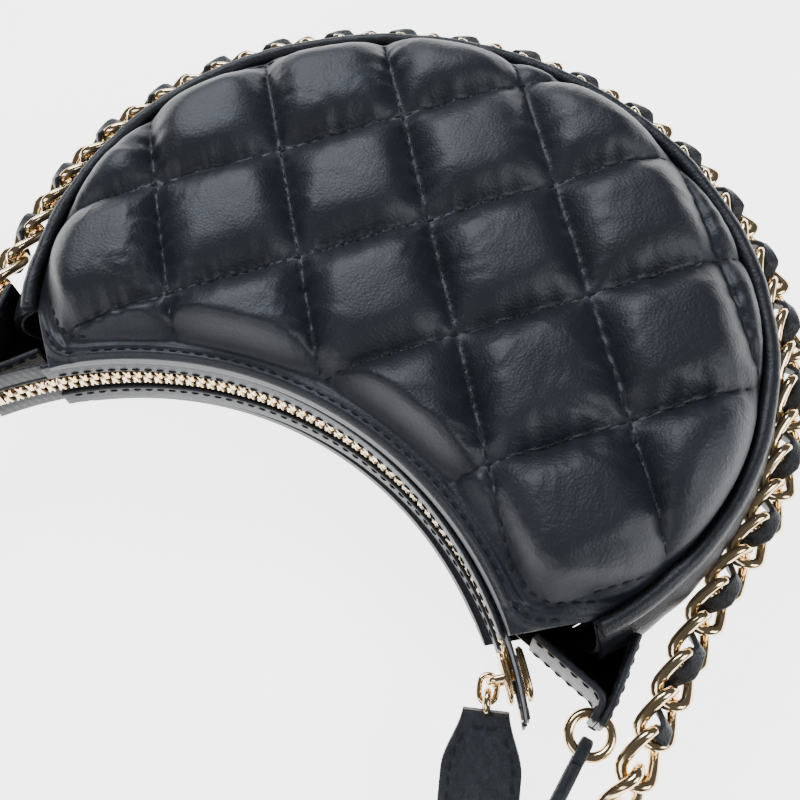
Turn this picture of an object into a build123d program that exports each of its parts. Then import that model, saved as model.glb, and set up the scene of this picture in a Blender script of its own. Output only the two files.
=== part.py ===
from build123d import *
import os
from math import asin, cos, degrees, radians, sin, sqrt, tan

# A small crescent crossbody purse, lying on its back with the mouth towards -Y.
# Millimetres, +Z up. The origin is on the surface that it lies on, under the centre of its rounded edge.

# Outline of both quilted panels
half_width = 81.0            # rounded edge, sideways
half_height = 75.0           # rounded edge, down to its lowest point
edge_blend_angle = 45.0      # where the side arcs meet the bottom arc, from +Y
mouth_radius = 84.0
mouth_middle_y = -27.0
mouth_corner_angle = 41.4    # inner corners of the horns, seen from the mouth arc's centre
edge_corner_angle = 33.0     # outer corners of the horns, below the side arcs' centres
slump = 6.0                  # how far the back has slid towards -X under the front

# Heights above the surface
belly_height = 10.7          # back panel's crown, below the back seam
seam_spacing = 18.6          # back seam to front seam
crown_height = 12.2          # front panel's crown, above the front seam
lip_height = 4.7             # upright edge of the front panel at the mouth
seam_gap = 0.4               # between the gusset and the front panel

# Layers
leather = 1.2
layer_gap = 0.1              # between layers, up and down
layer_fit = 0.4              # between layers, sideways
lining = 0.6
edge_roll = 7.0              # how far a panel draws in from its edge to its crown
mouth_roll = 4.5
horn_roll = 7.0
piping_radius = 1.6
piping_gap = 0.1
gusset_bulge = 5.5
pillow_levels = ((0, 0), (0.40, 0.12), (0.72, 0.45), (1, 1))     # share of height, share of roll
bulge_levels = ((0, 0), (0.25, 0.7), (0.5, 1), (0.75, 0.7), (1, 0))

# Slip pocket on the back lining
pocket_width = 62.0
pocket_depth = 36.0
pocket_sheet = 0.8
pocket_room = 6.2
pocket_centre_y = 28.0

# Zip
tooth_pitch = 2.45
tooth_length = 2.35          # across the zip
tooth_width = 1.3            # along the zip
tooth_depth = 1.8            # through the tape
tooth_start = 0.55           # from the middle of the zip
tape_thickness = 0.5
tape_width = 5.6
zip_set_back = 1.5           # tape's middle behind the face of the mouth strips
strip_edge = 4.0             # mouth strips, from the middle of the zip
zip_closed_angle = 46.5      # slider's middle, from +Y
zip_left_end = 50.0
zip_right_end = 48.5
strip_end_angle = 42.0
stop_arc = 1.4               # degrees
bottom_stop_gap = 0.2        # degrees past the end of the tape's teeth
top_stop_gap = 2.2

# Slider and pull
slider_length_angle = 7.0    # degrees of the zip's arc
slider_half_height = 3.6
slider_plate = 1.1
slider_clearance = 0.5
slider_post = 0.5
slider_post_ends = (0.35, 0.1)   # shares of the slider's length, back from its leading end
bail_seat = 0.02             # between the bail's arms and the slider's face
bail_reach = 2.9
bail_half_height = 3.0
bail_wire = 0.7
pull_direction = -66.0       # degrees from +X
pull_link_length = 6.4
pull_link_width = 4.6
pull_link_wire = 0.6
pull_clearance = 0.3
tab_eye_wire = 0.8
tab_eye = 2.0                # radius of the small eye at the head of the tab
tab_head = 3.2               # from the eye's middle to the leather
tab_length = 48.0
tab_width = 15.0
tab_neck = 9.0
tab_neck_length = 10.0
tab_layer = 1.3
shank_width = 2.4
shank_depth = 1.2
tab_slope = 22.5             # degrees down from the slider to the surface

# Tips, rings and straps
tip_reach = (17.3, 21.0)     # right and left tips, out from the middle of the horn's end
tip_lean = (8.2, -3.4)       # and along it, away from the mouth
tongue_thickness = 1.4
tongue_gap = 0.3
tongue_start_gap = 0.8       # behind the gusset's end
tongue_half_height = 6.5
tongue_tip_run = 4.5
tongue_zip_gap = 5.2         # mouth tongue's start, out from the zip
tongue_zip_angle = 1.4       # and past the horn's inner corner, degrees
ring_radius = 4.0
ring_wire = 1.0
ring_inset = 2.6             # eyelet's middle to the tongue's end
eyelet_clearance = 0.5

link_length = 13.4
link_width = 9.0
link_wire = 1.2
link_pitch = 8.0
gusset_step = 15             # degrees between the points of the chain's route
chain_stand_off = 9.1        # chain's middle, out from the rounded edge
chain_ring_gap = 0.7
lace_radius = 0.7
lace_lift = 3.3
lace_rest = 3.6              # chain's middle above the surface
twist_links = 4              # links over which the chain turns from upright to 45 degrees
end_link_lean = 0.3          # sideways lean of the gusset chain's end links
lace_steps = 26              # straight runs of the lace round the gusset

strap_thickness = 2.4
strap_height = 13.0
strap_floor_gap = 0.3
strap_eye_radius = 3.4
strap_eye_run = 9.0
strap_eye_play = 0.2

# Levels that follow
back_seam = belly_height
front_seam = back_seam + seam_spacing
front_lip = front_seam + lip_height
back_lip = back_seam - lip_height
middle = (back_seam + front_seam) / 2
lining_step = leather + layer_fit
panel_inset = piping_radius + layer_fit
chain_beside_ring = ring_radius + ring_wire + chain_ring_gap + link_width / 2

# Arcs that follow
blend_sine = sin(radians(edge_blend_angle))
blend_cosine = cos(radians(edge_blend_angle))
radius_difference = (half_width - half_height) / (blend_sine + blend_cosine - 1)
side_radius = half_width - radius_difference * blend_sine
bottom_radius = side_radius + radius_difference
side_centre_x = half_width - side_radius
bottom_centre_y = -radius_difference * blend_cosine
mouth_centre_y = mouth_middle_y - mouth_radius
zip_radius = mouth_radius + zip_set_back


def slip(z):
    """How far a level has slid sideways."""
    share = (front_lip - z) / (front_lip - back_lip)
    return -slump * min(1, max(0, share))


zip_centre = Vector(slip(middle), mouth_centre_y, middle)


def polar(centre, radius, angle):
    """A place on a circle, with its angle clockwise from +Y."""
    return Vector(*centre) + Vector(radius * sin(radians(angle)), radius * cos(radians(angle)))


def arc(centre, radius, start, end):
    return ThreePointArc(*[polar(centre, radius, angle) for angle in (start, (start + end) / 2, end)])


def bearing(centre, place):
    """The angle of a place seen from a centre, clockwise from +Y."""
    away = place - Vector(*centre)
    return degrees(asin(away.X / away.length)) if away.Y >= 0 else 180 - degrees(asin(away.X / away.length))


# The right horn's end, a straight line between its two corners
mouth_corner = polar((0, mouth_centre_y), mouth_radius, mouth_corner_angle)
edge_corner = polar((side_centre_x, 0), side_radius, 90 + edge_corner_angle)
horn_along = (edge_corner - mouth_corner).normalized()
horn_out = Vector(horn_along.Y, -horn_along.X)


def meet(start, centre, radius):
    """Where the line through start, along the horn's end, crosses a circle nearest to start."""
    reach = start - Vector(*centre)
    along = reach.dot(horn_along)
    root = sqrt(along**2 - reach.dot(reach) + radius**2)
    return min((start + horn_along * (root - along), start + horn_along * (-root - along)),
               key=lambda place: (place - start).length)


def mirrored(place):
    return Vector(-place.X, place.Y)


def horn_corners(edge=0.0, mouth=0.0, horn=0.0):
    """The right horn's inner and outer corners, drawn in from each side."""
    inner = meet(mouth_corner - horn_out * horn, (0, mouth_centre_y), mouth_radius + mouth)
    outer = meet(edge_corner - horn_out * horn, (side_centre_x, 0), side_radius - edge)
    return inner, outer


def rounded_edge(edge, right_end, left_end):
    """The three tangent arcs of the rounded edge, from the right end over +Y to the left end."""
    side = side_radius - edge
    right_angle = bearing((side_centre_x, 0), right_end)
    left_angle = -bearing((side_centre_x, 0), mirrored(left_end))
    return [arc((side_centre_x, 0), side, right_angle, edge_blend_angle),
            arc((0, bottom_centre_y), bottom_radius - edge, edge_blend_angle, -edge_blend_angle),
            arc((-side_centre_x, 0), side, -edge_blend_angle, left_angle)]


def crescent(z, edge=0.0, mouth=0.0, horn=0.0):
    """The panels' outline at a level, drawn in from the rounded edge, the mouth and the horns' ends."""
    inner, outer = horn_corners(edge, mouth, horn)
    mouth_angle = bearing((0, mouth_centre_y), inner)
    sides = rounded_edge(edge, outer, mirrored(outer))
    sides += [Line(mirrored(outer), mirrored(inner))]
    sides += [arc((0, mouth_centre_y), mouth_radius + mouth, -mouth_angle, mouth_angle)]
    sides += [Line(inner, outer)]
    return Pos(slip(z), 0, z) * make_face(sides)


def skin_between(levels):
    """A solid through outlines at rising or falling levels, given as (z, edge, mouth, horn)."""
    return loft([crescent(*level) for level in levels], ruled=True)


def pillow(seam, height, skin=0.0, start=0.0):
    """A panel's crowned shape above (or below, with a negative height) its seam, inside a skin."""
    way = 1 if height > 0 else -1
    levels = []
    for up, roll in pillow_levels:
        rise = min(max(abs(height) * up, start), abs(height) - skin)
        levels.append((seam + way * rise, panel_inset + edge_roll * roll + skin,
                       mouth_roll * roll + skin, horn_roll * roll + skin))
    return skin_between(levels)


def panel(seam, height):
    return pillow(seam, height) - pillow(seam, height, skin=leather)


def padding(seam, height):
    return pillow(seam, height, skin=lining_step, start=lining + 2 * layer_gap)


def panel_lining(seam, way):
    inset = (panel_inset + lining_step, lining_step, lining_step)
    low, high = seam + way * layer_gap, seam + way * (layer_gap + lining)
    return skin_between([(low, *inset), (high, *inset)])


def piping(seam, way):
    """A round cord along the rounded edge, beside the panel's seam."""
    z = seam + way * piping_radius
    _, outer = horn_corners()
    path = Wire(rounded_edge(0, outer, mirrored(outer)))
    start = Plane(origin=path @ 0, z_dir=path % 0)
    return Pos(slip(z), 0, z) * sweep(start * Circle(piping_radius - piping_gap), path=path)


def gusset_band(offset, thickness):
    """The bulging band between the seams, open at the mouth and at the horns' ends."""
    low, high = back_seam + piping_gap, front_seam - seam_gap
    outer, inner = [], []
    for up, bulge in bulge_levels:
        z = low + (high - low) * up
        out = gusset_bulge * bulge - offset
        outer.append((z, -out, 0, 0))
        inner.append((z, -out + thickness, -leather, -leather))
    return skin_between(outer) - skin_between(inner)


def ring_sector(inner_radius, outer_radius, start, end, low, high):
    """A piece of an upright wall that follows the zip's arc."""
    if start < end:
        start, end = end, start
    centre = (0, 0)
    outline = [arc(centre, outer_radius, start, end),
               Line(polar(centre, outer_radius, end), polar(centre, inner_radius, end)),
               arc(centre, inner_radius, end, start),
               Line(polar(centre, inner_radius, start), polar(centre, outer_radius, start))]
    return Pos(zip_centre.X, zip_centre.Y, low) * extrude(make_face(outline), high - low)


def across_zip(near, far, way):
    """Levels of a piece that lies between two distances from the middle of the zip."""
    return sorted((middle + way * near, middle + way * far))


def mouth_strip(way):
    far = seam_spacing / 2 - layer_gap
    return ring_sector(mouth_radius, mouth_radius + leather, -strip_end_angle, strip_end_angle,
                       *across_zip(strip_edge, far, way))


def zip_tape(way):
    near = tooth_start + tooth_length
    inner = mouth_radius + leather + layer_gap
    return ring_sector(inner, inner + tape_thickness, -zip_left_end, zip_right_end,
                       *across_zip(near, near + tape_width, way))


def zip_teeth(way):
    """One row of teeth. The two rows are half a pitch apart."""
    step = degrees(tooth_pitch / zip_radius)
    count = int((zip_left_end + zip_right_end) / step)
    tooth = Box(tooth_width, tooth_depth, tooth_length)
    lift = way * (tooth_start + tooth_length / 2)
    row = []
    for index in range(count):
        angle = -zip_left_end + step * (index + 0.5 + 0.25 * way)
        place = polar((0, 0), zip_radius, angle)
        row.append(Pos(*zip_centre) * Pos(place.X, place.Y, lift) * Rot(0, 0, -angle) * tooth)
    return row


def zip_stop(angle, way):
    return ring_sector(zip_radius - tooth_depth / 2, zip_radius + tooth_depth / 2,
                       angle, angle + way * stop_arc, *across_zip(-tooth_length, tooth_length, 1))


def zip_slider():
    """Two plates that hold the teeth between them, joined by the post that parts the rows."""
    half = slider_length_angle / 2
    ends = (zip_closed_angle - half, zip_closed_angle + half)
    face = tooth_depth / 2 + slider_clearance
    levels = across_zip(-slider_half_height, slider_half_height, 1)
    outside = ring_sector(zip_radius - face - slider_plate, zip_radius - face, *ends, *levels)
    inside = ring_sector(zip_radius + face, zip_radius + face + slider_plate, *ends, *levels)
    post_ends = [ends[1] - share * slider_length_angle for share in slider_post_ends]
    post = ring_sector(zip_radius - face, zip_radius + face, *post_ends,
                       *across_zip(-slider_post / 2, slider_post / 2, 1))
    return outside + post + inside


bail_face = zip_radius - tooth_depth / 2 - slider_clearance - slider_plate
bail_radius = bail_face - bail_reach
bail_place = Vector(*zip_centre) + polar((0, 0), bail_radius, zip_closed_angle)


def slider_bail():
    """A staple on the slider's face, with an upright pin for the pull."""
    pin = Pos(*bail_place) * Cylinder(bail_wire, 2 * bail_half_height + 2 * bail_wire)
    arms = []
    for way in (-1, 1):
        reach = bail_reach - bail_seat
        arm = Box(2 * bail_wire, reach, 2 * bail_wire)
        place = polar((0, 0), bail_radius + reach / 2, zip_closed_angle)
        arms.append(Pos(*zip_centre) * Pos(place.X, place.Y, way * bail_half_height)
                    * Rot(0, 0, -zip_closed_angle) * arm)
    return pin + arms[0] + arms[1]


def oval_link(length, width, wire):
    """A closed link that lies flat along X."""
    run = length - width
    turn = width / 2 - wire
    side = Pos(0, turn, 0) * Rot(0, 90, 0) * Cylinder(wire, run)
    end = Pos(run / 2, 0, 0) * (Torus(turn, wire) & Pos(width, 0, 0) * Box(2 * width, 2 * width, 4 * wire))
    return side + mirror(side, about=Plane.XZ) + end + mirror(end, about=Plane.YZ)


pull_frame = Pos(*bail_place) * Rot(0, 0, pull_direction)
pull_link_centre = pull_link_length / 2 - 2 * pull_link_wire - bail_wire - pull_clearance
pull_bar = pull_link_centre + pull_link_length / 2 - pull_link_wire


def pull_link():
    """A flat link round the slider's pin."""
    link = oval_link(pull_link_length, pull_link_width, pull_link_wire)
    return pull_frame * Pos(pull_link_centre, 0, 0) * link


tab_hinge = Vector(*(pull_frame * Pos(pull_bar, 0, 0)).position)
tab_frame = Pos(*tab_hinge) * Rot(0, 0, pull_direction) * Rot(0, tab_slope, 0)


def tab_outline(start):
    neck = start + tab_neck_length
    half, half_neck = tab_width / 2, tab_neck / 2
    return make_face(Polyline((start, -half_neck), (start, half_neck), (neck, half), (tab_length, half),
                              (tab_length, -half), (neck, -half), close=True))


def pull_eye():
    """An upright eye through the flat link, with a short shank into the tab."""
    eye = Rot(90, 0, 0) * Torus(tab_eye, tab_eye_wire)
    shank_length = tab_head - tab_eye
    shank = Pos(tab_eye + shank_length / 2, 0, 0) * Box(shank_length, shank_width, shank_depth)
    return tab_frame * (eye + shank)


def pull_tab(way):
    """One leather layer of the tab."""
    return tab_frame * Pos(0, 0, min(0, way) * tab_layer + way * layer_gap / 2) * \
        extrude(tab_outline(tab_head), tab_layer)


def tip(side):
    """The place where the two tongues of a horn end, for the right (0) or the left (1) horn."""
    sign = 1 - 2 * side
    centre = (mouth_corner + edge_corner) * 0.5
    place = centre + horn_out * tip_reach[side] + horn_along * tip_lean[side]
    return Vector(sign * place.X + slip(middle), place.Y, middle)


def eyelet(side):
    return tip(side) + Vector(0, ring_inset, 0)


def ring_bar(side):
    """The far side of a horn's ring, on which the straps swing."""
    return eyelet(side) - Vector(0, 2 * ring_radius, 0)


def wall(points, thickness, low, high):
    """An upright strip of even thickness along straight runs, with round joints."""
    points = [Vector(point.X, point.Y) for point in points]
    outline = Sketch()
    for start, end in zip(points, points[1:]):
        run = end - start
        turn = degrees(asin(run.Y / run.length)) if run.X >= 0 else 180 - degrees(asin(run.Y / run.length))
        half_way = (start + end) * 0.5
        outline += Pos(half_way.X, half_way.Y) * Rot(0, 0, turn) * Rectangle(run.length, thickness)
    for joint in points:
        outline += Pos(joint.X, joint.Y) * Circle(thickness / 2)
    return Pos(0, 0, low) * extrude(outline, high - low)


def tongue(side, gusset):
    """A horn's mouth tongue or gusset tongue, which runs on past the panels to the tip."""
    sign = 1 - 2 * side
    beside = sign * (1 if gusset else -1) * (tongue_thickness + tongue_gap) / 2
    end = tip(side) + Vector(beside, tongue_thickness / 2, 0)
    if gusset:
        _, outer = horn_corners(edge=-gusset_bulge + leather)
        start = outer + horn_out * (tongue_thickness / 2 + tongue_start_gap)
        start = Vector(sign * start.X + slip(middle), start.Y)
    else:
        angle = sign * (mouth_corner_angle + tongue_zip_angle)
        start = zip_centre + polar((0, 0), zip_radius + tongue_zip_gap, angle)
    bend = end + Vector(0, tongue_tip_run, 0)
    levels = across_zip(-tongue_half_height, tongue_half_height, 1)
    strip = wall([start, bend, end], tongue_thickness, *levels)
    hole = Pos(*eyelet(side)) * Rot(0, 90, 0) * Cylinder(ring_wire + eyelet_clearance, 20)
    return strip - hole


def tip_ring(side):
    return Pos(*(eyelet(side) - Vector(0, ring_radius, 0))) * Torus(ring_radius, ring_wire)


def smooth_route(points):
    """Straight runs through the points, joined by the largest tangent arcs that they allow."""
    radii = []
    for before, here, after in zip(points, points[1:], points[2:]):
        turn = (here - before).get_angle(after - here)
        run = min((here - before).length, (after - here).length)
        radii.append(0.45 * run / tan(radians(turn) / 2))
    return FilletPolyline(*points, radius=radii)


chain_link = oval_link(link_length, link_width, link_wire)


def link_at(place, along, turn):
    """A chain link in place, turned about its own length from lying flat."""
    flat = Plane(origin=place, x_dir=along, z_dir=along.cross(Vector(0, 0, 1)).cross(along))
    return flat.location * Rot(turn, 0, 0) * chain_link


def links_along(route, first, last, start_turn):
    """Links on a route, each a quarter turn from the last, easing over to 45 degrees at first."""
    links = []
    count = 2 * round((last - first) / link_pitch / 2)
    pitch = (last - first) / count
    for index in range(count + 1):
        reach = first + pitch * index
        ease = min(1, min(index, count - index) / twist_links)
        place = route.position_at(reach, position_mode=PositionMode.LENGTH)
        along = route.tangent_at(reach, position_mode=PositionMode.LENGTH)
        links.append(link_at(place, along, start_turn + 90 * index + 45 * ease))
    return links


def chain_bar(side):
    """The last bar of the gusset's chain, beside a horn's ring."""
    sign = 1 - 2 * side
    return ring_bar(side) + Vector(sign * chain_beside_ring, 0, 0)


def gusset_route():
    """The chain's middle line round the gusset, from the right tip to the left tip."""
    points = []
    for side in (0, 1):
        sign = 1 - 2 * side
        bar = chain_bar(side)
        leg = [bar, bar + Vector(-end_link_lean * sign, link_length, 0)]
        for angle in range(105, 0, -gusset_step):
            centre = (sign * side_centre_x, 0) if angle > edge_blend_angle else (0, bottom_centre_y)
            radius = (side_radius if angle > edge_blend_angle else bottom_radius) + chain_stand_off
            place = polar(centre, radius / cos(radians(gusset_step / 2)), sign * angle)
            leg.append(Vector(place.X + slip(middle), place.Y, middle))
        points.append(leg)
    low_radius = (bottom_radius + chain_stand_off) / cos(radians(gusset_step / 2))
    low = Vector(slip(middle), bottom_centre_y + low_radius, middle)
    return smooth_route(points[0] + [low] + points[1][::-1])


bar_reach = link_length / 2 - link_wire      # from a link's middle to the middle of its end bar
round_reach = bar_reach - (link_width / 2 - link_wire)


def gusset_chain():
    route = gusset_route()
    return links_along(route, bar_reach, route.length - bar_reach, 0)


def lace_on(points):
    """A round lace in the groove on top of a chain."""
    lifted = [point + Vector(0, 0, lace_lift) for point in points]
    route = smooth_route(lifted)
    start = Plane(origin=route @ 0, z_dir=route % 0)
    return sweep(start * Circle(lace_radius), path=Wire(route.edges()))


def gusset_lace():
    route = gusset_route()
    first = bar_reach + (twist_links + 0.5) * link_pitch
    step = (route.length - 2 * first) / lace_steps
    points = [route.position_at(first + step * index, position_mode=PositionMode.LENGTH)
              for index in range(lace_steps + 1)]
    return lace_on(points)


def floor_point(x, y):
    return Vector(x, y, lace_rest)


def chain_points():
    """The shoulder chain's route over the surface, from the right tip round to the left tip."""
    right, left = chain_bar(0), chain_bar(1)
    floor = [(92, -86), (98, -108), (106, -130), (100, -154), (82, -172), (58, -178), (34, -174),
             (10, -176), (-14, -180), (-38, -176), (-60, -166), (-78, -150), (-88, -128), (-90, -106)]
    points = [right, right + Vector(0, -12, -8)]
    points += [floor_point(x, y) for x, y in floor]
    points += [left + Vector(0, -12, -8), left]
    return points


def shoulder_chain():
    route = smooth_route(chain_points())
    return links_along(route, round_reach, route.length - round_reach, 90)


def shoulder_lace():
    points = chain_points()
    return lace_on(points[3:-3])


def strap_points():
    """The crossbody strap's route over the surface, from the right ring to the left ring."""
    floor = [(81, -79), (86, -100), (89, -122), (86, -142), (76, -152), (66, -142), (64, -124), (60, -112),
             (50, -116), (48, -132), (44, -150), (30, -160), (10, -161), (-10, -164), (-30, -162),
             (-48, -152), (-58, -136), (-70, -122), (-78, -104), (-79, -90)]
    return [Vector(x, y) for x, y in floor]


def strap_end(side, floor_start, onward):
    """A strap's end, from the eye on its ring down to the surface, where it meets the strap squarely."""
    bar = ring_bar(side)
    neck_end = Vector(bar.X, bar.Y - strap_eye_run, middle)
    low = Vector(floor_start.X, floor_start.Y, strap_floor_gap + strap_height / 2)
    upright = Vector(0, 0, 1)
    top = Plane(origin=neck_end, x_dir=(1, 0, 0), z_dir=(0, -1, 0))
    bottom = Plane(origin=low, x_dir=upright.cross(onward), z_dir=onward)
    ramp = loft([top * Rectangle(strap_thickness, 2 * strap_eye_radius),
                 bottom * Rectangle(strap_thickness, strap_height)], ruled=True)
    through = Pos(*bar) * Rot(0, 90, 0)
    eye = through * Cylinder(strap_eye_radius, strap_thickness)
    neck = Pos(bar.X, bar.Y - strap_eye_run / 2, middle) * \
        Box(strap_thickness, strap_eye_run, 2 * strap_eye_radius)
    hole = through * Cylinder(ring_wire + eyelet_clearance + strap_eye_play, 2 * strap_thickness)
    return eye + neck + ramp - hole


def strap_run():
    """The strap between its ends, standing on its edge."""
    route = Wire(smooth_route(strap_points()).edges())
    start = Plane(origin=route @ 0, x_dir=(0, 0, 1), z_dir=route % 0)
    run = sweep(start * Rectangle(strap_height, strap_thickness), path=route)
    return Pos(0, 0, strap_floor_gap + strap_height / 2) * run


def slip_pocket():
    """A flat pocket on the back lining, open towards the mouth."""
    low = back_seam + layer_gap
    outside = Box(pocket_width, pocket_depth, pocket_room, align=(Align.CENTER, Align.CENTER, Align.MIN))
    inside = Pos(0, -pocket_sheet, pocket_sheet) * \
        Box(pocket_width - 2 * pocket_sheet, pocket_depth, pocket_room - 2 * pocket_sheet,
            align=(Align.CENTER, Align.CENTER, Align.MIN))
    return Pos(slip(low), pocket_centre_y, low) * (outside - inside)


def save(name, *shapes):
    solids = [solid for shape in shapes for solid in shape.solids()]
    export_step(Compound(children=solids) if len(solids) > 1 else solids[0], f"parts/{name}.step")


os.makedirs("parts", exist_ok=True)

sides = (("front", front_seam, crown_height, 1), ("back", back_seam, -belly_height, -1))
for name, seam, height, way in sides:
    save(f"{name}_panel_leather", panel(seam, height))
    save(f"{name}_panel_padding", padding(seam, height))
    save(f"{name}_panel_lining", panel_lining(seam, way))
    save(f"{name}_piping", piping(seam, way))
    save(f"{name}_mouth_strip", mouth_strip(way))
    save(f"{name}_zip_tape", zip_tape(way))
    save(f"{name}_zip_teeth", *zip_teeth(way))

save("gusset_leather", gusset_band(0, leather))
save("gusset_lining", gusset_band(leather + layer_gap, lining))
save("slip_pocket", slip_pocket())
save("zip_bottom_stop", zip_stop(-zip_left_end - bottom_stop_gap, -1))
save("zip_top_stop", zip_stop(zip_right_end + top_stop_gap, 1))
save("zip_slider", zip_slider())
save("slider_bail", slider_bail())
save("pull_link", pull_link())
save("pull_eye", pull_eye())
save("pull_tab_face", pull_tab(1))
save("pull_tab_back", pull_tab(-1))

for side, name in enumerate(("right", "left")):
    save(f"mouth_tongue_{name}", tongue(side, gusset=False))
    save(f"gusset_tongue_{name}", tongue(side, gusset=True))
    save(f"tip_ring_{name}", tip_ring(side))

save("gusset_chain", *gusset_chain())
save("gusset_lace", gusset_lace())
save("shoulder_chain", *shoulder_chain())
save("shoulder_lace", shoulder_lace())
strap_route = smooth_route(strap_points())
save("strap_end_right", strap_end(0, strap_points()[0], strap_route % 0))
save("strap_end_left", strap_end(1, strap_points()[-1], -(strap_route % 1)))
save("strap_middle", strap_run())
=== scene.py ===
import bpy
import math
import numpy as np
from mathutils import Matrix, Vector, noise


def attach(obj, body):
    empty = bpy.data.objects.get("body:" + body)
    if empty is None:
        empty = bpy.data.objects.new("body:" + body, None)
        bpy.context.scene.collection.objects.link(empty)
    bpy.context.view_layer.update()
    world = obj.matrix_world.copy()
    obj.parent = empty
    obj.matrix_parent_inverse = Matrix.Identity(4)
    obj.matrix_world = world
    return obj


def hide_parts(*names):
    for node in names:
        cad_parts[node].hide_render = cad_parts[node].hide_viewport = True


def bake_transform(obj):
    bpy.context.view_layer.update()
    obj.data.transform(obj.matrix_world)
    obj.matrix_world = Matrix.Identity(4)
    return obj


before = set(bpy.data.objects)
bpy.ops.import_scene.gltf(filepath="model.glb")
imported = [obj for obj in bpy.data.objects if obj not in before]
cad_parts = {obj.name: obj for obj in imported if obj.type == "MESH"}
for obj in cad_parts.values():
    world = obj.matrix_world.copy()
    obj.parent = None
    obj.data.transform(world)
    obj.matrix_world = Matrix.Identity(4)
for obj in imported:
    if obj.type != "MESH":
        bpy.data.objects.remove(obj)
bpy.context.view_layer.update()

MM = 0.001

# Driving sizes, in millimetres, the same as the frame's
half_width, half_height = 81.0, 75.0
blend_angle = math.radians(45)
mouth_radius, mouth_middle_y = 84.0, -27.0
mouth_corner_angle = math.radians(41.4)
edge_corner_angle = math.radians(33)
slump = 6.0
back_seam, front_seam, middle = 10.7, 29.3, 20.0
front_lip, back_lip = 34.0, 6.0
zip_radius = 85.5
tooth_pitch = 2.45

blend_sine, blend_cosine = math.sin(blend_angle), math.cos(blend_angle)
radius_difference = (half_width - half_height) / (blend_sine + blend_cosine - 1)
side_radius = half_width - radius_difference * blend_sine
bottom_radius = side_radius + radius_difference
side_centre = (half_width - side_radius, 0.0)
bottom_centre = (0.0, -radius_difference * blend_cosine)
mouth_centre = (0.0, mouth_middle_y - mouth_radius)

# Quilting: two families of lines that cross at nodes one pitch apart
quilt_pitch = 29.0
quilt_lean = math.radians(42)
quilt_node = np.array((-61.0, -1.0))
quilt_a = np.array((math.sin(quilt_lean), math.cos(quilt_lean)))
quilt_b = np.array((math.sin(quilt_lean), -math.cos(quilt_lean)))


def slip(z):
    """How far a level of the slumped body has slid sideways."""
    return -slump * np.clip((front_lip - z) / (front_lip - back_lip), 0, 1)


def edge_place(share, out=0.0):
    """A place on the rounded edge, from the left horn (0) over the bottom to the right horn (1)."""
    share = np.asarray(share, float)
    side_angle = math.pi / 2 + edge_corner_angle - blend_angle
    side_run = side_radius * side_angle
    bottom_run = bottom_radius * 2 * blend_angle
    run = share * (2 * side_run + bottom_run)
    left = run < side_run
    right = run > side_run + bottom_run
    angle_left = -(math.pi / 2 + edge_corner_angle) + run / side_radius
    angle_bottom = -blend_angle + (run - side_run) / bottom_radius
    angle_right = blend_angle + (run - side_run - bottom_run) / side_radius
    angle = np.where(left, angle_left, np.where(right, angle_right, angle_bottom))
    radius = np.where(left | right, side_radius, bottom_radius) + out
    centre_x = np.where(left, -side_centre[0], np.where(right, side_centre[0], 0.0))
    centre_y = np.where(left | right, 0.0, bottom_centre[1])
    return np.stack((centre_x + radius * np.sin(angle), centre_y + radius * np.cos(angle)), -1)


def mouth_place(share, out=0.0):
    """A place on the mouth's arc, from the left horn (0) to the right horn (1)."""
    angle = mouth_corner_angle * (2 * np.asarray(share, float) - 1)
    radius = mouth_radius + out
    return np.stack((radius * np.sin(angle), mouth_centre[1] + radius * np.cos(angle)), -1)


def smooth(value, low, high):
    t = np.clip((value - low) / (high - low), 0, 1)
    return t * t * (3 - 2 * t)


def deselect():
    bpy.ops.object.select_all(action="DESELECT")


def activate(piece):
    deselect()
    piece.select_set(True)
    bpy.context.view_layer.objects.active = piece


def mesh_piece(name, places, faces):
    """A mesh from places in millimetres."""
    mesh = bpy.data.meshes.new(name)
    mesh.from_pydata([tuple(p) for p in np.asarray(places) * MM], [], faces)
    mesh.validate()
    mesh.update()
    piece = bpy.data.objects.new(name, mesh)
    bpy.context.scene.collection.objects.link(piece)
    for polygon in mesh.polygons:
        polygon.use_smooth = True
    return piece


def grid_faces(rows, columns, start=0, around=False):
    """The four-sided faces of a grid of places, closed across its columns if it goes around."""
    faces = []
    for i in range(rows - 1):
        for j in range(columns if around else columns - 1):
            k = (j + 1) % columns
            faces.append((start + i * columns + j, start + i * columns + k,
                          start + (i + 1) * columns + k, start + (i + 1) * columns + j))
    return faces


def closed_rows(rows, around):
    """Faces of a tube of rows, each a closed loop, with a cap at either end."""
    caps = [tuple(range(around)), tuple(reversed(range((rows - 1) * around, rows * around)))]
    return grid_faces(rows, around, around=True) + caps


def closed_round(rows, around):
    """Faces of a tube of rows whose last row joins its first."""
    last = (rows - 1) * around
    joint = [(last + j, last + (j + 1) % around, (j + 1) % around, j) for j in range(around)]
    return grid_faces(rows, around, around=True) + joint


def shell(name, ring):
    """A closed piece from rows of places, each row a loop round its section."""
    piece = mesh_piece(name, ring.reshape(-1, 3), closed_rows(*ring.shape[:2]))
    outward(piece)
    return piece


def outward(piece):
    """Faces point outwards on a closed piece."""
    activate(piece)
    bpy.ops.object.mode_set(mode="EDIT")
    bpy.ops.mesh.select_all(action="SELECT")
    bpy.ops.mesh.remove_doubles(threshold=0.000005)
    bpy.ops.mesh.normals_make_consistent(inside=False)
    bpy.ops.object.mode_set(mode="OBJECT")


def join(pieces, name):
    activate(pieces[0])
    for piece in pieces[1:]:
        piece.select_set(True)
    if len(pieces) > 1:
        bpy.ops.object.join()
    pieces[0].name = name
    return pieces[0]


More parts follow.
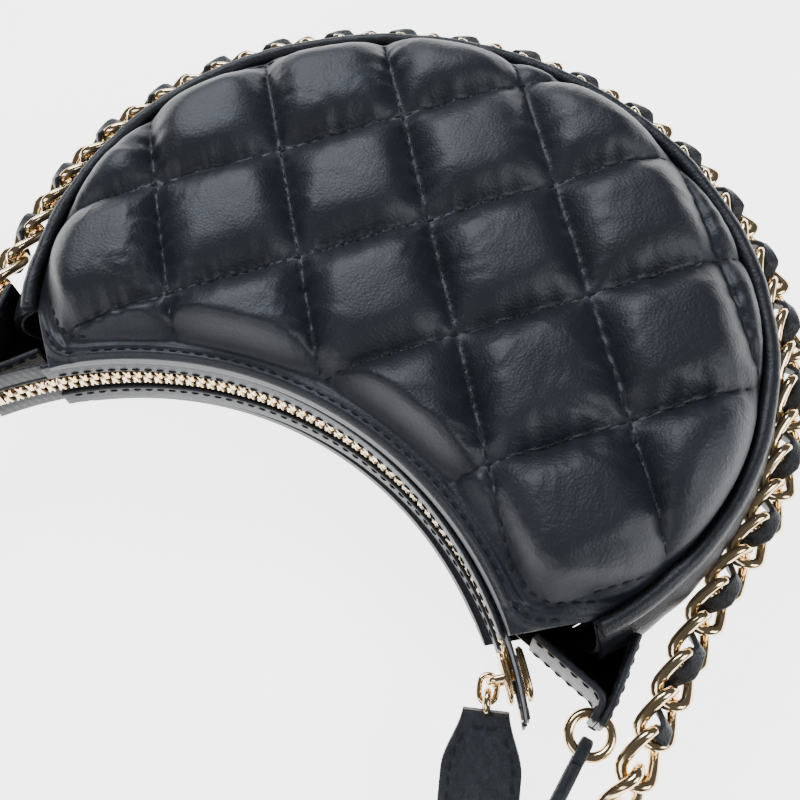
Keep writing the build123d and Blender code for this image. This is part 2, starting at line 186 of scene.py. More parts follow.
def swept(name, path, section, up=(0, 0, 1), closed=False, lift=None, turn=None):
    """A section, in millimetres across and up, carried along a path, with caps on an open one."""
    path = np.asarray(path, float)
    section = np.asarray(section, float)
    count, around = len(path), len(section)
    places = np.zeros((count, around, 3))
    up = np.broadcast_to(np.asarray(up, float), (count, 3))
    for i in range(count):
        if closed:
            along = path[(i + 1) % count] - path[i - 1]
        else:
            along = path[min(i + 1, count - 1)] - path[max(i - 1, 0)]
        along /= np.linalg.norm(along)
        side = np.cross(along, up[i])
        side /= np.linalg.norm(side)
        above = np.cross(side, along)
        here = section if lift is None else section * lift[i]
        if turn is not None:
            c, s = math.cos(turn[i]), math.sin(turn[i])
            here = here @ np.array(((c, s), (-s, c)))
        places[i] = path[i] + here[:, :1] * side + here[:, 1:] * above
    faces = closed_round(count, around) if closed else closed_rows(count, around)
    piece = mesh_piece(name, places.reshape(-1, 3), faces)
    outward(piece)
    return piece


def round_section(radius, sides=12):
    angles = np.linspace(0, 2 * math.pi, sides, endpoint=False)
    return np.stack((radius * np.cos(angles), radius * np.sin(angles)), -1)


def strip_section(width, height, corner=0.35, steps=3):
    """A rectangle with rounded corners."""
    section = []
    for start, (sx, sy) in enumerate(((1, 1), (-1, 1), (-1, -1), (1, -1))):
        for step in range(steps):
            angle = math.pi / 2 * (start + step / (steps - 1))
            section.append((sx * (width / 2 - corner) + corner * math.cos(angle),
                            sy * (height / 2 - corner) + corner * math.sin(angle)))
    return np.array(section)


def even_path(places, spacing):
    places = np.asarray(places, float)
    steps = np.linalg.norm(np.diff(places, axis=0), axis=1)
    run = np.concatenate(((0,), np.cumsum(steps)))
    count = max(2, int(round(run[-1] / spacing)) + 1)
    even = np.linspace(0, run[-1], count)
    return np.stack([np.interp(even, run, places[:, k]) for k in range(3)], -1)


# Material helpers

def socket_group(name, inputs, outputs):
    tree = bpy.data.node_groups.new(name, "ShaderNodeTree")
    for label, kind, value in inputs:
        socket = tree.interface.new_socket(name=label, in_out="INPUT", socket_type=kind)
        socket.default_value = value
    for label, kind in outputs:
        tree.interface.new_socket(name=label, in_out="OUTPUT", socket_type=kind)
    return tree, tree.nodes.new("NodeGroupInput"), tree.nodes.new("NodeGroupOutput")


def node(tree, kind, **values):
    made = tree.nodes.new(kind)
    for key, value in values.items():
        if key.startswith("in_"):
            made.inputs[key[3:].replace("_", " ")].default_value = value
        else:
            setattr(made, key, value)
    return made


def leather_grain_group():
    """Pebbled grain, creases and cloudy shade of a soft skin."""
    tree, given, result = socket_group(
        "leather_grain",
        [("Vector", "NodeSocketVector", (0, 0, 0)), ("Pebble", "NodeSocketFloat", 1800.0),
         ("Crease", "NodeSocketFloat", 90.0), ("Crease Depth", "NodeSocketFloat", 0.5)],
        [("Height", "NodeSocketFloat"), ("Cloud", "NodeSocketFloat")])
    link = tree.links.new
    pebble = node(tree, "ShaderNodeTexVoronoi", feature="F1", in_Randomness=0.9)
    link(given.outputs["Vector"], pebble.inputs["Vector"])
    link(given.outputs["Pebble"], pebble.inputs["Scale"])
    fine = node(tree, "ShaderNodeTexNoise", in_Detail=5.0, in_Roughness=0.65)
    link(given.outputs["Vector"], fine.inputs["Vector"])
    half = node(tree, "ShaderNodeMath", operation="MULTIPLY")
    half.inputs[1].default_value = 0.45
    link(given.outputs["Pebble"], half.inputs[0])
    link(half.outputs[0], fine.inputs["Scale"])
    crease = node(tree, "ShaderNodeTexNoise", in_Detail=4.0, in_Roughness=0.6, in_Distortion=1.4)
    link(given.outputs["Vector"], crease.inputs["Vector"])
    link(given.outputs["Crease"], crease.inputs["Scale"])
    fold = node(tree, "ShaderNodeMath", operation="PINGPONG")
    fold.inputs[1].default_value = 0.11
    link(crease.outputs["Fac"], fold.inputs[0])
    deep = node(tree, "ShaderNodeMath", operation="MULTIPLY")
    link(fold.outputs[0], deep.inputs[0])
    link(given.outputs["Crease Depth"], deep.inputs[1])
    deep_more = node(tree, "ShaderNodeMath", operation="MULTIPLY")
    deep_more.inputs[1].default_value = 9.0
    link(deep.outputs[0], deep_more.inputs[0])
    mix = node(tree, "ShaderNodeMath", operation="ADD")
    link(pebble.outputs["Distance"], mix.inputs[0])
    link(fine.outputs["Fac"], mix.inputs[1])
    total = node(tree, "ShaderNodeMath", operation="ADD")
    link(mix.outputs[0], total.inputs[0])
    link(deep_more.outputs[0], total.inputs[1])
    cloud = node(tree, "ShaderNodeTexNoise", in_Scale=45.0, in_Detail=3.0)
    link(given.outputs["Vector"], cloud.inputs["Vector"])
    link(total.outputs[0], result.inputs["Height"])
    link(cloud.outputs["Fac"], result.inputs["Cloud"])
    return tree


leather_grain = leather_grain_group()


def blank_material(name):
    material = bpy.data.materials.new(name)
    material.use_nodes = True
    tree = material.node_tree
    shader = tree.nodes["Principled BSDF"]
    where = tree.nodes.new("ShaderNodeTexCoord")
    return material, tree, shader, where


def ramp_between(tree, low, high, dark, light):
    ramp = tree.nodes.new("ShaderNodeValToRGB")
    ramp.color_ramp.elements[0].position = low
    ramp.color_ramp.elements[0].color = (*dark, 1)
    ramp.color_ramp.elements[1].position = high
    ramp.color_ramp.elements[1].color = (*light, 1)
    return ramp


def leather_material(name, dark, light, rough=(0.38, 0.55), pebble=1800.0, crease=90.0, crease_depth=0.5,
                     bump=0.00012, sheen=0.03, coat=0.12):
    material, tree, shader, where = blank_material(name)
    link = tree.links.new
    grain = tree.nodes.new("ShaderNodeGroup")
    grain.node_tree = leather_grain
    grain.inputs["Pebble"].default_value = pebble
    grain.inputs["Crease"].default_value = crease
    grain.inputs["Crease Depth"].default_value = crease_depth
    link(where.outputs["Object"], grain.inputs["Vector"])
    ramp = ramp_between(tree, 0.3, 0.75, dark, light)
    link(grain.outputs["Cloud"], ramp.inputs["Fac"])
    link(ramp.outputs["Color"], shader.inputs["Base Color"])
    rough_range = tree.nodes.new("ShaderNodeMapRange")
    rough_range.inputs["To Min"].default_value = rough[0]
    rough_range.inputs["To Max"].default_value = rough[1]
    link(grain.outputs["Height"], rough_range.inputs["Value"])
    link(rough_range.outputs["Result"], shader.inputs["Roughness"])
    relief = tree.nodes.new("ShaderNodeBump")
    relief.inputs["Strength"].default_value = 1.0
    relief.inputs["Distance"].default_value = bump
    link(grain.outputs["Height"], relief.inputs["Height"])
    link(relief.outputs["Normal"], shader.inputs["Normal"])
    shader.inputs["Sheen Weight"].default_value = sheen
    shader.inputs["Sheen Roughness"].default_value = 0.4
    shader.inputs["Coat Weight"].default_value = coat
    shader.inputs["Specular IOR Level"].default_value = 0.42
    shader.inputs["Coat Roughness"].default_value = 0.35
    return material


def gold_material(name, colour, warm, rough):
    material, tree, shader, where = blank_material(name)
    link = tree.links.new
    smudge = node(tree, "ShaderNodeTexNoise", in_Scale=260.0, in_Detail=4.0)
    link(where.outputs["Object"], smudge.inputs["Vector"])
    ramp = ramp_between(tree, 0.35, 0.7, colour, warm)
    link(smudge.outputs["Fac"], ramp.inputs["Fac"])
    link(ramp.outputs["Color"], shader.inputs["Base Color"])
    rough_range = tree.nodes.new("ShaderNodeMapRange")
    rough_range.inputs["To Min"].default_value = rough[0]
    rough_range.inputs["To Max"].default_value = rough[1]
    link(smudge.outputs["Fac"], rough_range.inputs["Value"])
    link(rough_range.outputs["Result"], shader.inputs["Roughness"])
    fine = node(tree, "ShaderNodeTexNoise", in_Scale=700.0, in_Detail=2.0)
    link(where.outputs["Object"], fine.inputs["Vector"])
    relief = tree.nodes.new("ShaderNodeBump")
    relief.inputs["Distance"].default_value = 0.00002
    relief.inputs["Strength"].default_value = 0.5
    link(fine.outputs["Fac"], relief.inputs["Height"])
    link(relief.outputs["Normal"], shader.inputs["Normal"])
    shader.inputs["Metallic"].default_value = 1.0
    return material


def woven_material(name, dark, light, threads=2600.0, rough=0.8, bump=0.00012, diagonal=True):
    material, tree, shader, where = blank_material(name)
    link = tree.links.new
    turn = tree.nodes.new("ShaderNodeMapping")
    turn.inputs["Rotation"].default_value = (0.3, 0.2, 0.785 if diagonal else 0.0)
    link(where.outputs["Object"], turn.inputs["Vector"])
    warp = node(tree, "ShaderNodeTexWave", in_Scale=threads / 10, in_Distortion=0.6, bands_direction="X")
    weft = node(tree, "ShaderNodeTexWave", in_Scale=threads / 10, in_Distortion=0.6, bands_direction="Y")
    link(turn.outputs["Vector"], warp.inputs["Vector"])
    link(turn.outputs["Vector"], weft.inputs["Vector"])
    cross = node(tree, "ShaderNodeMath", operation="MULTIPLY")
    link(warp.outputs["Fac"], cross.inputs[0])
    link(weft.outputs["Fac"], cross.inputs[1])
    ramp = ramp_between(tree, 0.1, 0.8, dark, light)
    link(cross.outputs[0], ramp.inputs["Fac"])
    link(ramp.outputs["Color"], shader.inputs["Base Color"])
    relief = tree.nodes.new("ShaderNodeBump")
    relief.inputs["Distance"].default_value = bump
    link(cross.outputs[0], relief.inputs["Height"])
    link(relief.outputs["Normal"], shader.inputs["Normal"])
    shader.inputs["Roughness"].default_value = rough
    shader.inputs["Sheen Weight"].default_value = 0.3
    return material


lambskin = leather_material("lambskin", (0.003, 0.004, 0.008), (0.007, 0.0095, 0.017), rough=(0.36, 0.54),
                            pebble=1500.0, crease=110.0, crease_depth=0.35, bump=0.00007, coat=0.1)
smooth_skin = leather_material("smooth_skin", (0.003, 0.0035, 0.006), (0.008, 0.0098, 0.0155),
                               rough=(0.34, 0.52), pebble=1700.0, crease=160.0, crease_depth=0.6,
                               bump=0.00008, coat=0.08)
strap_skin = leather_material("strap_skin", (0.008, 0.009, 0.0135), (0.017, 0.019, 0.027),
                              rough=(0.38, 0.58), pebble=950.0, crease=420.0, crease_depth=0.9,
                              bump=0.00024, coat=0.08)
lace_skin = leather_material("lace_skin", (0.003, 0.0035, 0.005), (0.007, 0.008, 0.012), rough=(0.35, 0.55),
                             pebble=1400.0, crease=300.0, crease_depth=0.7, bump=0.00015)
thread_fibre = leather_material("thread_fibre", (0.003, 0.0035, 0.005), (0.007, 0.008, 0.011),
                                rough=(0.5, 0.7), pebble=5200.0, crease=2400.0, crease_depth=1.0,
                                bump=0.0001, coat=0.0)
pale_gold = gold_material("pale_gold", (0.93, 0.74, 0.46), (0.86, 0.62, 0.36), rough=(0.08, 0.2))
zip_gold = gold_material("zip_gold", (0.92, 0.74, 0.46), (0.80, 0.58, 0.32), rough=(0.16, 0.3))
tape_weave = woven_material("tape_weave", (0.004, 0.004, 0.006), (0.014, 0.015, 0.02), diagonal=False)
lining_twill = woven_material("lining_twill", (0.012, 0.012, 0.015), (0.035, 0.035, 0.042), threads=3000.0)
wadding = woven_material("wadding", (0.3, 0.3, 0.29), (0.6, 0.6, 0.58), threads=900.0, rough=0.95,
                         bump=0.0004)


def dress(piece, body, material, replaces=()):
    """Gives a finished piece its material, its body and the nodes that it stands for."""
    piece.data.materials.clear()
    piece.data.materials.append(material)
    if body == "front_side":
        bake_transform(piece)
    else:
        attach(piece, body)
    if replaces:
        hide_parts(*replaces)
    return piece


def dress_node(name, material):
    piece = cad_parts[name]
    piece.data.materials.clear()
    piece.data.materials.append(material)


fineness = 1.0


# Quilted panels

def edge_depth(x, y):
    """How far inside the rounded edge a place is."""
    away_x = np.abs(x) - side_centre[0]
    side = side_radius - np.hypot(away_x, y)
    bottom = bottom_radius - np.hypot(x, y - bottom_centre[1])
    return np.where(np.arctan2(away_x, y) < blend_angle, bottom, side)


def mouth_depth(x, y):
    return np.hypot(x, y - mouth_centre[1]) - mouth_radius


horn_inner = np.array((mouth_radius * math.sin(mouth_corner_angle),
                       mouth_centre[1] + mouth_radius * math.cos(mouth_corner_angle)))
horn_outer = np.array((side_centre[0] + side_radius * math.cos(edge_corner_angle),
                       -side_radius * math.sin(edge_corner_angle)))
horn_along = (horn_outer - horn_inner) / np.linalg.norm(horn_outer - horn_inner)
horn_out = np.array((horn_along[1], -horn_along[0]))


def horn_depth(x, y):
    return -((np.abs(x) - horn_inner[0]) * horn_out[0] + (y - horn_inner[1]) * horn_out[1])


def soft_least(a, b, blur):
    """The lesser of two, with a rounded change-over."""
    share = np.clip(0.5 + 0.5 * (b - a) / blur, 0, 1)
    return b * (1 - share) + a * share - blur * share * (1 - share)


def quilt_lines(x, y):
    """How many pitches a place is along each of the two families of quilting lines."""
    from_node = (x - quilt_node[0], y - quilt_node[1])
    a = (from_node[0] / quilt_a[0] + from_node[1] / quilt_a[1]) / (2 * quilt_pitch)
    b = (from_node[0] / quilt_b[0] + from_node[1] / quilt_b[1]) / (2 * quilt_pitch)
    return a, b


line_spacing = 2 * quilt_pitch * math.sin(quilt_lean) * math.cos(quilt_lean)


def puff(x, y):
    """A cell's swelling, from 0 on a seam to 1 in its middle, and the distance to each family's seam."""
    a, b = quilt_lines(x, y)
    near_a = np.abs(a - np.round(a))
    near_b = np.abs(b - np.round(b))
    swell_a = 1 - (1 - 2 * near_a) ** 3.3
    swell_b = 1 - (1 - 2 * near_b) ** 3.3
    return (swell_a * swell_b) ** 0.85, near_a * line_spacing, near_b * line_spacing, a, b


def noise_at(x, y, z):
    """Smooth noise in -1..1 at every place of a grid of places."""
    x, y, z = np.broadcast_arrays(np.asarray(x, float), np.asarray(y, float), np.asarray(z, float))
    return np.array([noise.noise(Vector(place)) for place in zip(x.flat, y.flat, z.flat)]).reshape(x.shape)


def panel_rise(x, y, base, swell, seed):
    """The height of a quilted panel's face above its seam."""
    swelling, from_a, from_b, a, b = puff(x, y)
    edge, mouth, horn = edge_depth(x, y) - 2.0, mouth_depth(x, y), horn_depth(x, y)
    hem = soft_least(np.maximum(mouth, 0), np.maximum(horn, 0), 6.0)
    round_edge = np.sqrt(np.clip(1 - (1 - np.clip(edge / 13.0, 0, 1)) ** 2, 0, 1))
    hem_face = 0.52 + 0.16 * smooth(hem, 0, 1.3) - 0.08 * smooth(hem, 2.6, 3.8)
    hem_face += 0.40 * smooth(hem, 4.0, 10.0)
    hem_line = 1.0 * np.exp(-((hem - 2.0) / 0.5) ** 2) + 0.9 * np.exp(-((horn - 5.0) / 0.6) ** 2)
    cell = smooth(hem, 2.6, 8.5)
    shoulder = round_edge * hem_face
    rise = shoulder * base + shoulder * cell * swell * swelling - 0.45 * hem_line * round_edge
    pucker_a = noise_at(b * 11.0, a * 0.9 + seed, 3.1) * np.exp(-(from_a / 3.6) ** 1.4)
    pucker_b = noise_at(a * 11.0, b * 0.9 + seed, 8.3) * np.exp(-(from_b / 3.6) ** 1.4)
    rise += 0.85 * (pucker_a + pucker_b) * cell * round_edge
    slack = noise_at(x / 15.0, y / 15.0, seed) * 0.7
    fold = noise_at(x / 26.0 + 4.0, y / 9.0 - x / 30.0, seed + 5.0)
    slack += 0.8 * np.exp(-(fold / 0.09) ** 2) * noise_at(x / 30.0, y / 30.0, seed + 9.0)
    tight = noise_at(x / 4.2, y / 4.2, seed + 2.0) * 0.12
    crinkle = noise_at(x / 3.2 + y / 14.0, y / 7.5, seed + 7.0)
    patches = smooth(noise_at(x / 22.0, y / 22.0, seed + 3.0), -0.1, 0.35)
    tight += 0.22 * (1 - np.abs(crinkle)) ** 6 * patches
    rise += (slack + tight) * cell * round_edge
    return rise


panels = {
    "front": dict(seam=front_seam, way=1, base=7.4, swell=6.0, seed=1.0, most=13.6),
    "back": dict(seam=back_seam, way=-1, base=6.6, swell=5.2, seed=6.0, most=10.6),
}


def panel_place(side, x, y):
    """Places on a panel's quilted face."""
    given = panels[side]
    rise = panel_rise(x, y, given["base"], given["swell"], given["seed"])
    over = given["most"] - 1.2
    rise = np.where(rise > over, over + 1.2 * (1 - np.exp(-(rise - over) / 1.2)), rise)
    z = given["seam"] + given["way"] * rise
    return np.stack((x + slip(z), y, z), -1)


def quilted_panel(side):
    """A padded, quilted panel: its face, its turned edges and the flat side that the lining covers."""
    given = panels[side]
    rows, across = int(380 * fineness), int(118 * fineness)
    share = np.linspace(0, 1, rows)
    step = np.linspace(0, 1, across)
    step = 0.62 * step + 0.38 * (0.5 - 0.5 * np.cos(math.pi * step))
    inner, outer = mouth_place(share), edge_place(share, -2.0)
    plan = inner[:, None] * (1 - step[None, :, None]) + outer[:, None] * step[None, :, None]
    face = panel_place(side, plan[..., 0], plan[..., 1])
    flat_z = given["seam"] + given["way"] * 0.85
    lip_step = np.linspace(0.25, 0.8, 3)[None, :, None]
    flat_column = np.full((rows, 1), flat_z)
    mouth_foot = np.concatenate((inner + np.array((slip(flat_z), 0)), flat_column), 1)[:, None]
    lip = mouth_foot * (1 - lip_step) + face[:, :1] * lip_step
    lip[..., 2] = mouth_foot[..., 2] * (1 - lip_step[..., 0]) + face[:, :1, 2] * lip_step[..., 0]
    flat_step = np.linspace(1, 0, 9)
    flat_plan = inner[:, None] * (1 - flat_step[None, :, None]) + outer[:, None] * flat_step[None, :, None]
    flat = np.concatenate((flat_plan + np.array((slip(flat_z), 0)), np.full((rows, 9, 1), flat_z)), 2)
    ring = np.concatenate((flat, lip, face), 1)
    return shell(f"{side}_quilted_panel", ring)


# Stitches

stitch_sink = 0.05

def surface_normals(place_of, x, y, way):
    """Unit normals of a face that is given as a function of x and y."""
    step = 0.25
    along_x = place_of(x + step, y) - place_of(x - step, y)
    along_y = place_of(x, y + step) - place_of(x, y - step)
    normal = np.cross(along_x, along_y)
    normal /= np.linalg.norm(normal, axis=-1, keepdims=True)
    return normal * way


def stitches_along(path, normals, length=2.2, gap=0.75, thread=0.3):
    """Small tapered stitches along one path, each as rings of places."""
    path, normals = np.asarray(path, float), np.asarray(normals, float)
    run = np.concatenate(((0,), np.cumsum(np.linalg.norm(np.diff(path, axis=0), axis=1))))
    count = int((run[-1] - gap) / (length + gap))
    if count < 1:
        return []
    spare = run[-1] - count * (length + gap)
    beads = []
    shares = np.array((0.0, 0.12, 0.38, 0.62, 0.88, 1.0))
    girth = np.array((0.35, 0.85, 1.0, 1.0, 0.85, 0.35)) * thread
    lift = np.array((-0.9, 0.25, 0.75, 0.75, 0.25, -0.9)) * thread - stitch_sink
    angles = np.linspace(0, 2 * math.pi, 6, endpoint=False)
    for index in range(count):
        at = spare / 2 + index * (length + gap) + gap / 2 + shares * length
        centre = np.stack([np.interp(at, run, path[:, k]) for k in range(3)], -1)
        up = np.stack([np.interp(at, run, normals[:, k]) for k in range(3)], -1)
        along = centre[-1] - centre[0]
        along /= np.linalg.norm(along)
        side = np.cross(along, up)
        side /= np.linalg.norm(side, axis=1, keepdims=True)
        centre = centre + up * lift[:, None]
        around = np.cos(angles)[None, :, None] * side[:, None]
        around = around + 0.8 * np.sin(angles)[None, :, None] * up[:, None]
        beads.append(centre[:, None] + girth[:, None, None] * around)
    return beads


def stitch_piece(name, beads):
    places, faces = [], []
    for bead in beads:
        start = len(places) * 36
        places.append(bead.reshape(-1, 3))
        faces += grid_faces(6, 6, start=start, around=True)
        faces += [tuple(start + k for k in range(6)), tuple(start + 35 - k for k in range(6))]
    piece = mesh_piece(name, np.concatenate(places), faces)
    outward(piece)
    return piece


def inside_runs(x, y, inside):
    """Unbroken stretches of a line that lie inside."""
    runs, start = [], None
    for index, keep in enumerate(list(inside) + [False]):
        if keep and start is None:
            start = index
        if not keep and start is not None:
            if index - start > 4:
                runs.append((x[start:index], y[start:index]))
            start = None
    return runs


def panel_stitches(side):
    """Quilting seams, and the two hem lines along the mouth and the horns' ends."""
    given = panels[side]
    beads = []
    place_of = lambda u, v: panel_place(side, u, v)
    reach = np.arange(-260, 260, 0.8)
    for family, other in ((quilt_a, quilt_b), (quilt_b, quilt_a)):
        for number in range(-9, 10):
            start = quilt_node + other * number * quilt_pitch
            x, y = start[0] + family[0] * reach, start[1] + family[1] * reach
            inside = (edge_depth(x, y) > 3.2) & (mouth_depth(x, y) > 4.0) & (horn_depth(x, y) > 6.0)
            for run_x, run_y in inside_runs(x, y, inside):
                normals = surface_normals(place_of, run_x, run_y, given["way"])
                smooth_up = normals * 0.3 + np.array((0, 0, given["way"])) * 0.7
                smooth_up /= np.linalg.norm(smooth_up, axis=1, keepdims=True)
                beads += stitches_along(place_of(run_x, run_y), smooth_up, length=2.1, gap=0.7, thread=0.3)
    for x, y in hem_paths(2.0) + hem_paths(5.0)[1:]:
        if len(x) > 4:
            normals = surface_normals(place_of, x, y, given["way"])
            beads += stitches_along(place_of(x, y), normals, length=2.1, gap=0.7, thread=0.3)
    return stitch_piece(f"{side}_quilting_thread", beads)


def hem_paths(depth):
    """Lines at an even depth inside the mouth and round into the horns' ends."""
    corner = 5.5
    share = np.linspace(0, 1, 400)
    angle = (2 * share - 1) * mouth_corner_angle * 1.02
    x = (mouth_radius + depth) * np.sin(angle)
    y = mouth_centre[1] + (mouth_radius + depth) * np.cos(angle)
    keep = horn_depth(x, y) > depth + corner
    mouth = (x[keep], y[keep])
    paths = [mouth]
    for sign in (-1, 1):
        run = np.linspace(0, 1, 60)
        start, end = horn_inner - horn_out * depth, horn_outer - horn_out * depth
        line = start + (end - start) * run[:, None]
        x, y = line.T
        line = line[(edge_depth(x, y) > 4.0) & (mouth_depth(x, y) > depth + corner)]
        mouth_end = np.array((mouth[0][-1], mouth[1][-1]))
        part = np.linspace(0, 1, 14)[:, None]
        knee = meet_lines(line[0], -horn_along, mouth_end)
        bend = (1 - part) ** 2 * mouth_end + 2 * part * (1 - part) * knee + part ** 2 * line[0]
        whole = np.concatenate((bend, line[1:]))
        paths.append((whole[:, 0] * sign, whole[:, 1]))
    return paths


def meet_lines(place, way, mouth_end):
    """Where a line meets the tangent of the mouth at the end of its stitching."""
    radial = mouth_end - np.array(mouth_centre)
    tangent = np.array((radial[1], -radial[0])) / np.linalg.norm(radial)
    matrix = np.array((way, -tangent)).T
    share = np.linalg.solve(matrix, mouth_end - place)
    return place + way * share[0]


for side, body in (("front", "front_side"), ("back", "bag")):
    quilt = quilted_panel(side)
    thread = panel_stitches(side)
    dress(quilt, body, lambskin, [f"{side}_panel_leather", f"{side}_panel_padding"])
    dress(thread, body, thread_fibre)


# Routes

def around_from(centre, radius, degrees):
    """A place on a circle, with its angle clockwise from +Y."""
    turn = math.radians(degrees)
    return np.array((centre[0] + radius * math.sin(turn), centre[1] + radius * math.cos(turn)))


def rounded_route(points, spacing=0.4):
    """Straight runs through the points, joined by tangent arcs."""
    points = [np.asarray(point, float) for point in points]
    places = [points[0]]
    for before, here, after in zip(points, points[1:], points[2:]):
        reach = 0.45 * min(np.linalg.norm(here - before), np.linalg.norm(after - here))
        start = here + (before - here) / np.linalg.norm(before - here) * reach
        end = here + (after - here) / np.linalg.norm(after - here) * reach
        half = np.linalg.norm((start + end) / 2 - here) / reach
        weight = math.sqrt(max(0.0, 1 - half ** 2))
        for step in np.linspace(0, 1, 15):
            parts = ((1 - step) ** 2, 2 * weight * step * (1 - step), step ** 2)
            places.append((parts[0] * start + parts[1] * here + parts[2] * end) / sum(parts))
    places.append(points[-1])
    return even_path(places, spacing)


def run_of(path):
    return np.concatenate(((0,), np.cumsum(np.linalg.norm(np.diff(path, axis=0), axis=1))))


def at_run(values, run, reach):
    return np.stack([np.interp(reach, run, values[:, k]) for k in range(values.shape[1])], -1)


horn_middle = (horn_inner + horn_outer) / 2
slide_middle = float(slip(middle))


def tip_place(sign):
    reach, lean = ((17.3, 8.2), (21.0, -3.4))[sign < 0]
    place = horn_middle + horn_out * reach + horn_along * lean
    return np.array((sign * place[0] + slide_middle, place[1], middle))


ring_radius = 4.0


def ring_bar(sign):
    return tip_place(sign) + np.array((0, 2.6 - 2 * ring_radius, 0))


def chain_bar(sign):
    return ring_bar(sign) + np.array((sign * 10.2, 0, 0))


chain_stand_off = 9.1
link_length, link_width, link_wire, link_pitch = 13.4, 9.0, 1.2, 8.0


def gusset_points():
    """The gusset chain's route, from the right tip round to the left one."""
    half_step = math.cos(math.radians(7.5))
    legs = []
    for sign in (1, -1):
        bar = chain_bar(sign)
        leg = [bar, bar + np.array((-0.3 * sign, link_length, 0))]
        for degrees in range(105, 0, -15):
            beside = degrees > 45
            centre = (sign * side_centre[0], 0) if beside else bottom_centre
            radius = (side_radius if beside else bottom_radius) + chain_stand_off
            place = around_from(centre, radius / half_step, sign * degrees)
            leg.append(np.array((place[0] + slide_middle, place[1], middle)))
        legs.append(leg)
    low = bottom_centre[1] + (bottom_radius + chain_stand_off) / half_step
    return legs[0] + [np.array((slide_middle, low, middle))] + legs[1][::-1]


chain_on_floor = ((92, -86), (98, -108), (106, -130), (100, -154), (82, -172), (58, -178), (34, -174),
                  (10, -176), (-14, -180), (-38, -176), (-60, -166), (-78, -150), (-88, -128), (-90, -106))
floor_height = 3.6


def shoulder_points():
    right, left = chain_bar(1), chain_bar(-1)
    drop = np.array((0, -12, -8))
    return [right, right + drop] + [(x, y, floor_height) for x, y in chain_on_floor] + [left + drop, left]


# Chains

def twisted_link():
    """A curb link along X: an oval of round wire, twisted a quarter turn from end to end."""
    run, turn = (link_length - link_width) / 2, link_width / 2 - link_wire
    right = [(run + turn * math.sin(a), turn * math.cos(a)) for a in np.linspace(0, math.pi, 10)]
    left = [(-run - turn * math.sin(a), -turn * math.cos(a)) for a in np.linspace(0, math.pi, 10)]
    line = np.array(right[:-1] + [(run, -turn), (0, -turn)] + left[:-1] + [(-run, turn), (0, turn)])
    count = len(line)
    angles = np.linspace(0, 2 * math.pi, 10, endpoint=False)
    places = []
    for index in range(count):
        along = line[(index + 1) % count] - line[index - 1]
        along /= np.linalg.norm(along)
        side = np.array((along[1], -along[0]))
        across = line[index] + link_wire * np.cos(angles)[:, None] * side
        places.append(np.column_stack((across, link_wire * np.sin(angles))))
    places = np.array(places).reshape(-1, 3)
    turn_here = places[:, 0] / (link_length / 2 - link_wire) * math.radians(43)
    y = places[:, 1] * np.cos(turn_here) - places[:, 2] * np.sin(turn_here)
    z = places[:, 1] * np.sin(turn_here) + places[:, 2] * np.cos(turn_here)
    return np.column_stack((places[:, 0], y, z)), closed_round(count, 10)


def frames_along(path, ups):
    """Tangents, and normals that lean towards the given ups."""
    along = np.gradient(path, axis=0)
    along /= np.linalg.norm(along, axis=1, keepdims=True)
    ups = ups - along * np.sum(ups * along, axis=1, keepdims=True)
    ups /= np.linalg.norm(ups, axis=1, keepdims=True)
    return along, ups


def chain_piece(name, path, ups, first):
    """Twisted links along a path, each turned by the twist of its neighbours."""
    run = run_of(path)
    along, ups = frames_along(path, ups)
    count = 2 * round((run[-1] - 2 * first) / link_pitch / 2)
    pitch = (run[-1] - 2 * first) / count
    shape, link_faces = twisted_link()
    places, faces = [], []
    for index in range(count + 1):
        reach = first + pitch * index
        centre, forward, up = (at_run(values, run, reach) for values in (path, along, ups))
        side = np.cross(up, forward)
        side /= np.linalg.norm(side)
        start = index * len(shape)
        places.append(centre + shape[:, :1] * forward + shape[:, 1:2] * side + shape[:, 2:] * up)
        faces += [tuple(start + k for k in face) for face in link_faces]
    piece = mesh_piece(name, np.concatenate(places), faces)
    outward(piece)
    return piece, pitch


def woven_lace(name, path, ups, first, pitch, start, end, weave=2.2, width=3.2, thick=1.2):
    """A flat lace that goes over and under the links."""
    run = run_of(path)
    ups = frames_along(path, ups)[1]
    reach = np.arange(start, end, 0.55)
    line, up = at_run(path, run, reach), at_run(ups, run, reach)
    swing = np.clip(1.7 * np.sin(math.pi * (reach - first) / pitch), -1, 1) * weave
    wander = noise_at(reach / 9.0, len(name), 0) * 0.25
    line = line + up * (swing + wander)[:, None]
    lean = 0.5 * np.sin(math.pi * (reach - first) / pitch + 0.8)
    return swept(name, line, strip_section(width, thick, corner=0.5, steps=4), up=up, turn=lean)


upright = np.array((0.0, 0.0, 1.0))


def leaning_ups(path, lean):
    """Normals that face away from the bag and upwards."""
    along = np.gradient(path, axis=0)
    outside = np.cross(along, upright)
    outside /= np.linalg.norm(outside, axis=1, keepdims=True)
    outside *= np.sign(np.sum(outside * path * np.array((1, 1, 0)), axis=1, keepdims=True))
    return outside * math.sin(lean) + upright * math.cos(lean)


bar_reach = link_length / 2 - link_wire
gusset_path = rounded_route(gusset_points())
gusset_ups = leaning_ups(gusset_path, math.radians(40))
chain, pitch = chain_piece("gusset_curb_chain", gusset_path, gusset_ups, bar_reach)
dress(chain, "bag", pale_gold, ["gusset_chain"])
lace = woven_lace("gusset_woven_lace", gusset_path, gusset_ups, bar_reach, pitch, 9.0,
                  run_of(gusset_path)[-1] - 9.0)
dress(lace, "bag", lace_skin, ["gusset_lace"])

